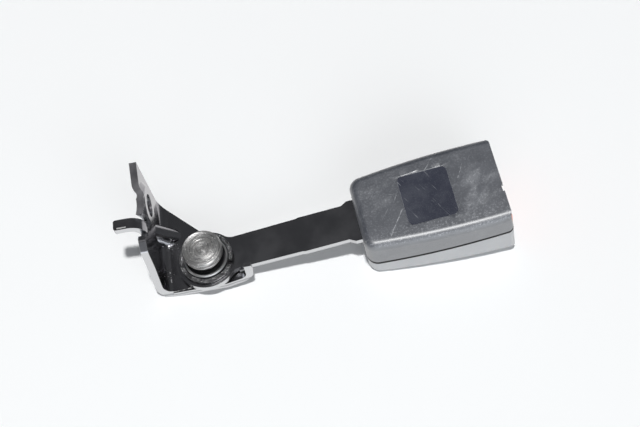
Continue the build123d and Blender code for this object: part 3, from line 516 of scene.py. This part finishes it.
def turned_steel():
    """Bare steel off the lathe, greyed, with uneven rings and bright chatter marks; the ring tones
    and the bright chatter are partly painted glints.
    """
    g = Finish("turned_steel")
    rings = g.use(TURNED_RINGS, Vector=g.at, Pitch=0.00085)
    fine = g.use(TURNED_RINGS, Vector=g.at, Pitch=0.0003)
    chatter_and_glints = g.use(SPARKLE, Vector=g.at, Size=0.0007, Amount=0.4)
    haze = g.use(HAZE, Vector=g.at, Size=0.004)["Mask"]
    edge = g.use(EDGE_WEAR, Vector=g.at, Radius=0.0003, Amount=0.8, Patch_Size=0.003)["Mask"]
    # The ring tones and the bright chatter specks stand partly for painted glints on the turned
    # face.
    tone = g.mix(rings["Bright"], rgb(0.13, 0.13, 0.13), rgb(0.6, 0.595, 0.59))
    tone = g.mix(g.math("MULTIPLY", fine["Bright"], 0.45), tone, rgb(0.2, 0.2, 0.2))
    tone = g.mix(g.math("MULTIPLY", haze, 0.5), tone, rgb(0.42, 0.41, 0.40))
    bright = most(g, g.math("MULTIPLY", chatter_and_glints["Mask"], 0.7), edge)
    tone = g.mix(bright, tone, rgb(0.85, 0.84, 0.83))
    g.set(Base_Color=tone, Metallic=1.0, Roughness=g.blend(rings["Bright"], 0.52, 0.36))
    height = g.math("ADD", g.math("ADD", rings["Height"], g.math("MULTIPLY", fine["Height"], 0.4)),
                    g.math("MULTIPLY", chatter_and_glints["Height"], 0.7))
    g.set(Normal=g.bump(height, 0.00009, 0.8))
    return g.material


def bush_metal():
    """Dark sintered bush, its lip polished by the stud's ring."""
    g = Finish("bush_metal")
    lip = g.span(g.parts(g.at)[2], 0.0028, 0.0034)
    rings = g.use(TURNED_RINGS, Vector=g.at, Pitch=0.0005)
    pores = g.use(SPARKLE, Vector=g.at, Size=0.0004, Amount=0.3)
    dark = g.mix(pores["Mask"], rgb(0.07, 0.07, 0.075), rgb(0.2, 0.2, 0.2))
    polished = g.mix(rings["Bright"], rgb(0.42, 0.42, 0.42), rgb(0.62, 0.62, 0.62))
    g.set(Base_Color=g.mix(lip, dark, polished), Metallic=1.0, Roughness=g.blend(lip, 0.55, 0.34))
    g.set(Normal=g.bump(g.math("ADD", rings["Height"], pores["Height"]), 0.00004, 0.5))
    return g.material


def spring_steel():
    """Oil-blackened spring steel with a coarse sparkle."""
    g = Finish("spring_steel")
    crystals = g.use(SPARKLE, Vector=g.at, Size=0.0006, Amount=0.45)
    haze = g.use(HAZE, Vector=g.at, Size=0.003)["Mask"]
    edge = g.use(EDGE_WEAR, Vector=g.at, Radius=0.00025, Amount=0.8, Patch_Size=0.002)["Mask"]
    base = g.mix(haze, rgb(0.11, 0.11, 0.115), rgb(0.22, 0.22, 0.225))
    bright = most(g, crystals["Mask"], g.math("MULTIPLY", edge, 0.6))
    g.set(Base_Color=g.mix(bright, base, rgb(0.62, 0.62, 0.62)))
    g.set(Metallic=1.0, Roughness=g.blend(haze, 0.3, 0.48))
    g.set(Normal=g.bump(crystals["Height"], 0.00012, 0.7))
    return g.material


def zinc_steel():
    """Zinc plate: a pale spangle with rolling marks along the strip."""
    g = Finish("zinc_steel")
    haze = g.use(HAZE, Vector=g.at, Size=0.005)["Mask"]
    rolled = g.use(SCRATCHES, Vector=g.at, Length=0.02, Width=0.0003, Amount=0.9)["Mask"]
    edge = g.use(EDGE_WEAR, Vector=g.at, Radius=0.0003, Amount=0.7, Patch_Size=0.003)["Mask"]
    base = g.mix(haze, rgb(0.5, 0.51, 0.52), rgb(0.62, 0.62, 0.6))
    base = g.mix(g.math("MULTIPLY", rolled, 0.5), base, rgb(0.4, 0.4, 0.42))
    g.set(Base_Color=g.mix(edge, base, BARE_STEEL_AND_GLINT), Metallic=1.0)
    g.set(Roughness=g.blend(haze, 0.26, 0.42))
    g.set(Normal=g.bump(g.use(FINE_GRAIN, Vector=g.at, Size=0.0009)["Height"], 0.00004, 0.5))
    return g.material


def moulded_grain(g, size, depth):
    """Give the finish its grain as a bump, and return the tops of the grain."""
    grain = g.use(FINE_GRAIN, Vector=g.at, Size=size)
    g.set(Normal=g.bump(grain["Height"], depth, 0.8))
    return grain["Tops"]


def seam_shade_and_dirt(g):
    """Painted shade with grime in the joint between the two covers, whose height changes along the
    casing.
    """
    spot = g.parts(g.at)
    seam = g.span_line(spot[0], CASE_START, CASE_END, SEAM_ARM, SEAM_MOUTH)
    return g.span(g.math("ABSOLUTE", g.math("SUBTRACT", spot[2], seam)), *SEAM_SHADE_EDGE)


def waxy_coat(g, tops, seam_dark, roughness, ior):
    """A coat that is thinner on the tops of the grain and missing in the painted shade of the seam.
    """
    clean = g.math("SUBTRACT", 1.0, seam_dark)
    g.set(Coat_Weight=g.math("MULTIPLY", g.blend(tops, 1.0, 0.8), clean))
    g.set(Coat_Roughness=roughness, Coat_IOR=ior)


def label_side_plastic():
    """Dark grey moulded plastic, speckled grain, with the scuffs of years of use; its side walls
    are painted lighter than the top, with a painted sparkle on the grain tops and a painted
    highlight along the near top edge.
    """
    g = Finish("label_side_plastic")
    tops = moulded_grain(g, 0.00095, 0.00026)
    haze = g.use(HAZE, Vector=g.at, Size=0.016)["Mask"]
    wiped = g.use(SMEARS, Vector=g.at, Turn=(0.0, 0.0, -0.6), Length=0.012, Width=0.0075)["Mask"]
    fine_scuffs = g.use(SCRATCHES, Vector=g.at, Turn=(0.0, 0.0, -0.9), Length=0.006, Width=0.0003,
                        Amount=0.5)["Mask"]
    cross_scuffs = g.use(SCRATCHES, Vector=g.at, Turn=(0.0, 0.0, 0.4), Length=0.005, Width=0.00025,
                         Amount=0.45)["Mask"]
    lines = most(g, *(g.scratch_and_glint(*line) for line in CASE_SCRATCHES))
    mouth_wear = most(g, *(g.near(*spot) for spot in MOUTH_WORN_SPOTS))
    arm_end_wear = g.math("MULTIPLY", g.near(*ARM_END_WORN_SPOT), 0.6)
    rubbed = most(g, mouth_wear, arm_end_wear, 0.22)
    on_tops = g.math("ADD", g.math("MULTIPLY", tops, 0.8), 0.5)
    smears = g.math("MULTIPLY", g.math("MULTIPLY", wiped, rubbed), on_tops, clamp=True)
    edge = g.use(EDGE_WEAR, Vector=g.at, Radius=0.0006, Amount=0.6, Patch_Size=0.005)["Mask"]
    up = g.span(g.parts(g.add("ShaderNodeNewGeometry").outputs["Normal"])[2], 0.35, 0.75)
    base = g.mix(haze, rgb(0.034, 0.039, 0.052), rgb(0.060, 0.066, 0.081))
    # Faces that don't face up are painted a lighter grey than the top: painted light on the side
    # walls.
    base = g.mix(up, rgb(0.11, 0.117, 0.13), base)
    # Grain tops on faces that face up are lightened: partly the grain's own tone, partly a painted
    # sparkle.
    grain_sparkle = g.math("MULTIPLY", g.math("MULTIPLY", tops, 0.75), up)
    base = g.mix(grain_sparkle, base, rgb(0.125, 0.132, 0.15))
    # Top faces towards −Y are lightened, most on the grain tops: a painted highlight along the near
    # top edge.
    near_side = g.math("MULTIPLY", g.span(g.parts(g.at)[1], -0.008, -0.019), up)
    near_edge_highlight = g.math("MULTIPLY", near_side, g.math("ADD", g.math("MULTIPLY", tops, 0.5), 0.06))
    marks = most(g, g.math("MULTIPLY", lines, 0.9), g.math("MULTIPLY", fine_scuffs, 0.35),
                 g.math("MULTIPLY", cross_scuffs, 0.3), g.math("MULTIPLY", smears, 0.8),
                 near_edge_highlight, g.math("MULTIPLY", edge, 0.35))
    base = g.mix(marks, base, rgb(0.36, 0.37, 0.39))
    seam_dark = seam_shade_and_dirt(g)
    g.set(Base_Color=g.mix(seam_dark, base, SEAM_SHADE_AND_DIRT))
    g.set(Roughness=g.math("ADD", g.blend(haze, 0.5, 0.58), g.math("MULTIPLY", marks, 0.15)))
    waxy_coat(g, tops, seam_dark, 0.42, 1.95)
    return g.material


def underside_plastic():
    """The paler grey plastic of the lower cover."""
    g = Finish("underside_plastic")
    tops = moulded_grain(g, 0.0011, 0.00012)
    haze = g.use(HAZE, Vector=g.at, Size=0.018)["Mask"]
    scuffs = g.use(SCRATCHES, Vector=g.at, Turn=(0.0, 0.5, 0.0), Length=0.007, Width=0.0003,
                   Amount=0.4)["Mask"]
    edge = g.use(EDGE_WEAR, Vector=g.at, Radius=0.0006, Amount=0.6, Patch_Size=0.005)["Mask"]
    base = g.mix(haze, rgb(0.32, 0.33, 0.345), rgb(0.35, 0.36, 0.372))
    base = g.mix(g.math("MULTIPLY", tops, 0.3), base, rgb(0.4, 0.41, 0.425))
    marks = most(g, g.math("MULTIPLY", scuffs, 0.3), g.math("MULTIPLY", edge, 0.35))
    seam_dark = seam_shade_and_dirt(g)
    g.set(Base_Color=g.mix(seam_dark, g.mix(marks, base, rgb(0.5, 0.51, 0.53)), SEAM_SHADE_AND_DIRT))
    g.set(Roughness=g.blend(haze, 0.36, 0.46))
    waxy_coat(g, tops, seam_dark, 0.4, 1.9)
    return g.material


def label_film():
    """A bare satin film with the weave of its backing just showing."""
    g = Finish("label_film")
    tops = moulded_grain(g, 0.0005, 0.00003)
    haze = g.use(HAZE, Vector=g.at, Size=0.012)["Mask"]
    scuffs = g.use(SCRATCHES, Vector=g.at, Turn=(0.0, 0.0, 1.1), Length=0.005, Width=0.0002,
                   Amount=0.5)["Mask"]
    edge = g.use(EDGE_WEAR, Vector=g.at, Radius=0.0004, Amount=0.95, Patch_Size=0.006)["Mask"]
    base = g.mix(haze, rgb(0.028, 0.031, 0.048), rgb(0.042, 0.046, 0.064))
    base = g.mix(g.math("MULTIPLY", tops, 0.4), base, rgb(0.1, 0.105, 0.125))
    # The label's far edge is lightened: a painted highlight.
    far_edge = g.scratch_and_glint(*LABEL_FAR_EDGE, Wobble=0.0, Gaps=0.0)
    far_edge_highlight = g.math("MULTIPLY", far_edge, 0.8)
    marks = most(g, g.math("MULTIPLY", scuffs, 0.35), g.math("MULTIPLY", edge, 0.6), far_edge_highlight)
    g.set(Base_Color=g.mix(marks, base, rgb(0.45, 0.46, 0.48)), Roughness=g.blend(haze, 0.34, 0.44))
    return g.material


def button_plastic():
    """Orange red moulded plastic with a soft sheen, paler where thumbs press it."""
    g = Finish("button_plastic")
    tops = moulded_grain(g, 0.0006, 0.00004)
    haze = g.use(HAZE, Vector=g.at, Size=0.009)["Mask"]
    scuffs = g.use(SCRATCHES, Vector=g.at, Turn=(0.3, 0.0, 0.2), Length=0.005, Width=0.0002,
                   Amount=0.4)["Mask"]
    edge = g.use(EDGE_WEAR, Vector=g.at, Radius=0.0005, Amount=0.8, Patch_Size=0.004)["Mask"]
    base = g.mix(haze, rgb(0.70, 0.085, 0.022), rgb(0.78, 0.125, 0.035))
    base = g.mix(g.math("MULTIPLY", tops, 0.25), base, rgb(0.85, 0.22, 0.09))
    marks = most(g, g.math("MULTIPLY", scuffs, 0.3), g.math("MULTIPLY", edge, 0.4))
    g.set(Base_Color=g.mix(marks, base, rgb(0.9, 0.42, 0.25)), Roughness=g.blend(haze, 0.3, 0.42))
    return g.material


def slide_plastic():
    """Natural acetal: waxy, off-white, greyed by grease."""
    g = Finish("slide_plastic")
    moulded_grain(g, 0.0008, 0.00003)
    haze = g.use(HAZE, Vector=g.at, Size=0.005)["Mask"]
    edge = g.use(EDGE_WEAR, Vector=g.at, Radius=0.0004, Amount=0.8, Patch_Size=0.003)["Mask"]
    base = g.mix(haze, rgb(0.74, 0.72, 0.66), rgb(0.62, 0.60, 0.54))
    g.set(Base_Color=g.mix(g.math("MULTIPLY", edge, 0.5), base, rgb(0.84, 0.83, 0.8)))
    g.set(Roughness=g.blend(haze, 0.32, 0.45))
    return g.material


# ---------------------------------------------------------------- bowed covers
COVER_BOW = 0.0016      # how far both side walls stand out at half length
BOW_STARTS_Y = 0.0150   # outside the label's recess
BOW_FULL_Y = 0.0172     # and from here on the wall moves as it is
BOW_CUTS = 14
BOW_FULLNESS = 0.8      # below 1 the curve rises faster at its ends than a sine
MOUTH_REACH = 0.0004    # how much further the mouth's rim comes over the button
MOUTH_REACH_LOW = 0.0010
MOUTH_SLANT_Z = 0.001   # from here down the rim leans out
MOUTH_SLANT_H = 0.004
MOUTH_STARTS = 0.85     # the share of the length where the rim's reach sets in


def share_between(value, low, high):
    """0 up to low, 1 from high on."""
    return min(max((value - low) / (high - low), 0.0), 1.0)


def bowed_cover(node, material):
    """A copy of a cover whose side walls swell in a slow curve between arm end and mouth."""
    form = bmesh.new()
    form.from_mesh(bpy.data.objects[node].data)
    bmesh.ops.remove_doubles(form, verts=form.verts[:], dist=WELD)
    length = CASE_END - CASE_START
    for cut in range(1, BOW_CUTS):
        at = PIVOT + Vector((CASE_START + length * cut / BOW_CUTS, 0.0, 0.0))
        bmesh.ops.bisect_plane(form, geom=form.verts[:] + form.edges[:] + form.faces[:],
                               dist=CUT_WELD, plane_co=at, plane_no=(1.0, 0.0, 0.0))
    for vert in form.verts:
        along = (vert.co.x - PIVOT.x - CASE_START) / length
        across = vert.co.y - PIVOT.y
        share = share_between(abs(across), BOW_STARTS_Y, BOW_FULL_Y)
        swell = COVER_BOW * math.sin(math.pi * share_between(along, 0.0, 1.0)) ** BOW_FULLNESS
        vert.co.y += math.copysign(swell * share, across)
        lower = share_between(MOUTH_SLANT_Z - vert.co.z + PIVOT.z, 0.0, MOUTH_SLANT_H)
        near_mouth = share_between(along, MOUTH_STARTS, 1.0)
        vert.co.x += near_mouth * (MOUTH_REACH + (MOUTH_REACH_LOW - MOUTH_REACH) * lower)
    mesh = bpy.data.meshes.new("bowed_" + node)
    form.to_mesh(mesh)
    form.free()
    mesh.shade_smooth()
    mesh.set_sharp_from_angle(angle=SHARP_ANGLE)
    mesh.materials.append(material)
    cover = new_object("bowed_" + node, mesh)
    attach(cover, "stalk")
    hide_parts(node)
    even = cover.modifiers.new("even_shading", "WEIGHTED_NORMAL")
    even.keep_sharp = True
    even.weight = 100


def coil_that_shortens(node, material):
    """A copy of a coil spring with its own mesh and the given finish, carried by the stalk."""
    mesh = bpy.data.objects[node].data.copy()
    mesh.materials.clear()
    mesh.materials.append(material)
    coil = new_object("live_" + node, mesh)
    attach(coil, "stalk")
    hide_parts(node)
    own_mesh(coil)


# ---------------------------------------------------------------- turned face of the stud
def grooved_face_tree(material):
    """Geometry nodes that roll a strip up into a disc with rings cut into it."""
    tree = bpy.data.node_groups.new("grooved_face", "GeometryNodeTree")
    sockets = {}
    for label, kind, value in (
        ("Radius", "Float", 0.0094), ("Rings", "Int", 22), ("Sides", "Int", 90),
        ("Groove Depth", "Float", 0.00006), ("Rim Drop", "Float", 0.0001), ("Seed", "Int", 7),
    ):
        socket = tree.interface.new_socket(label, in_out="INPUT", socket_type="NodeSocket" + kind)
        socket.default_value = value
        sockets[label] = socket.identifier
    tree.interface.new_socket("Geometry", in_out="OUTPUT", socket_type="NodeSocketGeometry")
    g = Graph(tree)
    given = g.add("NodeGroupInput").outputs
    strip = g.add("GeometryNodeMeshGrid")
    strip.inputs["Size X"].default_value = 1.0
    strip.inputs["Size Y"].default_value = 1.0
    steps = g.math("MULTIPLY", given["Rings"], STEPS_PER_RING)
    g.put(strip.inputs["Vertices X"], g.math("ADD", steps, 1.0))
    g.put(strip.inputs["Vertices Y"], g.math("ADD", given["Sides"], 1.0))
    x, y = g.parts(g.add("GeometryNodeInputPosition").outputs[0])[:2]
    out = g.math("ADD", x, 0.5)
    angle = g.math("MULTIPLY", y, 2.0 * math.pi)
    radius = g.math("MULTIPLY", out, given["Radius"])
    ring = g.math("MULTIPLY", out, given["Rings"])
    wave = g.math("SINE", g.math("MULTIPLY", ring, 2.0 * math.pi))
    noise = g.add("ShaderNodeTexNoise", noise_dimensions="1D")
    g.put(noise.inputs["W"], g.math("ADD", ring, given["Seed"]))
    depth = g.math("MULTIPLY", given["Groove Depth"], g.spread(noise.outputs["Fac"]))
    rim = g.math("MULTIPLY", g.math("POWER", out, RIM_POWER), given["Rim Drop"])
    height = g.math("SUBTRACT", g.math("MULTIPLY", g.math("MULTIPLY", wave, depth), out), rim)
    moved = g.add("GeometryNodeSetPosition")
    g.put(moved.inputs["Geometry"], strip.outputs["Mesh"])
    spot = g.join(g.math("MULTIPLY", radius, g.math("COSINE", angle)),
                  g.math("MULTIPLY", radius, g.math("SINE", angle)), height)
    g.put(moved.inputs["Position"], spot)
    closed = g.add("GeometryNodeMergeByDistance")
    g.put(closed.inputs["Geometry"], moved.outputs[0])
    closed.inputs["Distance"].default_value = WELD
    smooth = g.add("GeometryNodeSetShadeSmooth")
    g.put(smooth.inputs["Geometry"], closed.outputs[0])
    real = g.add("GeometryNodeRealizeInstances")
    g.put(real.inputs["Geometry"], smooth.outputs[0])
    finish = g.add("GeometryNodeSetMaterial")
    g.put(finish.inputs["Geometry"], real.outputs[0])
    finish.inputs["Material"].default_value = material
    g.put(g.add("NodeGroupOutput").inputs[0], finish.outputs[0])
    return tree, sockets


def make_stud_face(material):
    tree, sockets = grooved_face_tree(material)
    carrier = new_object("stud_face_maker", bpy.data.meshes.new("stud_face_maker"))
    modifier = carrier.modifiers.new("grooved_face", "NODES")
    modifier.node_group = tree
    modifier[sockets["Rings"]] = STUD_FACE_RINGS
    modifier[sockets["Radius"]] = STUD_FACE_RADIUS
    evaluated = carrier.evaluated_get(bpy.context.evaluated_depsgraph_get())
    mesh = bpy.data.meshes.new_from_object(evaluated)
    bpy.data.objects.remove(carrier)
    mesh.name = "stud_face"
    mesh.transform(Matrix.Translation(PIVOT + Vector((0.0, 0.0, STUD_TOP + STUD_FACE_LIFT))))
    face = new_object("stud_face", mesh)
    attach(face, "bracket")


# ---------------------------------------------------------------- camera, table and light
def make_camera():
    camera = new_object("camera", bpy.data.cameras.new("camera"))
    camera.location = CAMERA_AT
    look = (CAMERA_AIM - CAMERA_AT).normalized()
    level = look.to_track_quat("-Z", "Y")
    camera.rotation_mode = "QUATERNION"
    camera.rotation_quaternion = Quaternion(look, CAMERA_ROLL) @ level
    camera.data.lens = CAMERA_LENS
    camera.data.sensor_width = SENSOR_WIDTH
    camera.data.clip_start, camera.data.clip_end = CAMERA_CLIP
    bpy.context.scene.camera = camera


def table_material():
    """A white table: plain white in reflections, clear from below."""
    mat = bpy.data.materials.new("white_table")
    mat.use_nodes = True
    mat.node_tree.nodes.clear()
    g = Graph(mat.node_tree)
    surface = g.add("ShaderNodeBsdfPrincipled")
    cloud = g.noise(g.add("ShaderNodeTexCoord").outputs["Object"], TABLE_CLOUD_SCALE)
    white = rgb(TABLE_WHITE, TABLE_WHITE, TABLE_WHITE)
    cool = rgb(TABLE_WHITE - TABLE_TINT, TABLE_WHITE, TABLE_WHITE)
    g.put(surface.inputs["Base Color"], g.mix(cloud, white, cool))
    surface.inputs["Roughness"].default_value = TABLE_ROUGHNESS
    plain = g.add("ShaderNodeEmission")
    mirrored = g.add("ShaderNodeMixShader")
    g.put(mirrored.inputs[0], g.add("ShaderNodeLightPath").outputs["Is Glossy Ray"])
    g.put(mirrored.inputs[1], surface.outputs[0])
    g.put(mirrored.inputs[2], plain.outputs[0])
    either = g.add("ShaderNodeMixShader")
    g.put(either.inputs[0], g.add("ShaderNodeNewGeometry").outputs["Backfacing"])
    g.put(either.inputs[1], mirrored.outputs[0])
    g.put(either.inputs[2], g.add("ShaderNodeBsdfTransparent").outputs[0])
    g.put(g.add("ShaderNodeOutputMaterial").inputs["Surface"], either.outputs[0])
    return mat


def make_table():
    half = TABLE_SIZE / 2
    mesh = bpy.data.meshes.new("table")
    corners = [(-half, -half, 0), (half, -half, 0), (half, half, 0), (-half, half, 0)]
    mesh.from_pydata(corners, [], [(0, 1, 2, 3)])
    mesh.transform(Matrix.Translation(TABLE_TOUCH) @ Matrix.Rotation(TABLE_TILT, 4, "Y"))
    mesh.materials.append(table_material())
    table = new_object("table", mesh)


def make_lights():
    lamp = bpy.data.lights.new("key", "AREA")
    lamp.energy = KEY_POWER
    lamp.size = KEY_SIZE
    key = new_object("key", lamp)
    key.location = KEY_AIM + KEY_FROM.normalized() * KEY_DISTANCE
    key.rotation_mode = "QUATERNION"
    key.rotation_quaternion = (KEY_AIM - key.location).to_track_quat("-Z", "Y")
    world = bpy.data.worlds.new("studio")
    bpy.context.scene.world = world
    world.use_nodes = True
    world.node_tree.nodes.clear()
    g = Graph(world.node_tree)
    direction = g.add("ShaderNodeTexCoord").outputs["Generated"]
    towards_dark = g.vector("DOT_PRODUCT", direction, DARK_SKY.normalized())
    light = g.add("ShaderNodeBackground")
    light.inputs["Color"].default_value = ROOM_COLOUR
    room = g.span(towards_dark, *DARK_SPREAD, ROOM_LIGHT, DARK_LIGHT)
    towards_front = g.vector("DOT_PRODUCT", direction, FRONT_SKY.normalized())
    front = g.span(towards_front, *FRONT_SPREAD, 0.0, FRONT_LIGHT)
    g.put(light.inputs["Strength"], g.math("ADD", room, front))
    white = g.add("ShaderNodeBackground")
    white.inputs["Strength"].default_value = 1.0
    pick = g.add("ShaderNodeMixShader")
    g.put(pick.inputs[0], g.add("ShaderNodeLightPath").outputs["Is Camera Ray"])
    g.put(pick.inputs[1], light.outputs[0])
    g.put(pick.inputs[2], white.outputs[0])
    g.put(g.add("ShaderNodeOutputWorld").inputs["Surface"], pick.outputs[0])


# ---------------------------------------------------------------- dressing
def dress(material, *nodes):
    """Give the slots of CAD nodes a finish."""
    for node in nodes:
        for place in bpy.data.objects[node].material_slots:
            place.material = material


make_camera()
make_table()
make_lights()

TURNED = turned_steel()
dress(black_steel("bracket_steel", BRACKET_BAND), "anchor_bracket")
dress(black_steel("arm_steel", NO_BAND), "buckle_arm")
dress(TURNED, "pivot_stud")
dress(bush_metal(), "pivot_bush", "thrust_washer")
SPRING = spring_steel()
dress(SPRING, "spring_washer")
coil_that_shortens("button_springs", SPRING)
coil_that_shortens("ejector_spring", SPRING)
dress(zinc_steel(), "stud_tail_washer", "frame_rivets", "latch_frame", "latch_plate", "latch_pin",
      "lock_bar")
UPPER_PLASTIC = label_side_plastic()
dress(UPPER_PLASTIC, "tongue_guide")
bowed_cover("back_cover", UPPER_PLASTIC)
bowed_cover("front_cover", underside_plastic())
dress(label_film(), "blank_label")
dress(button_plastic(), "press_button")
dress(slide_plastic(), "ejector")
make_stud_face(TURNED)

bpy.context.scene.view_settings.view_transform = "Standard"
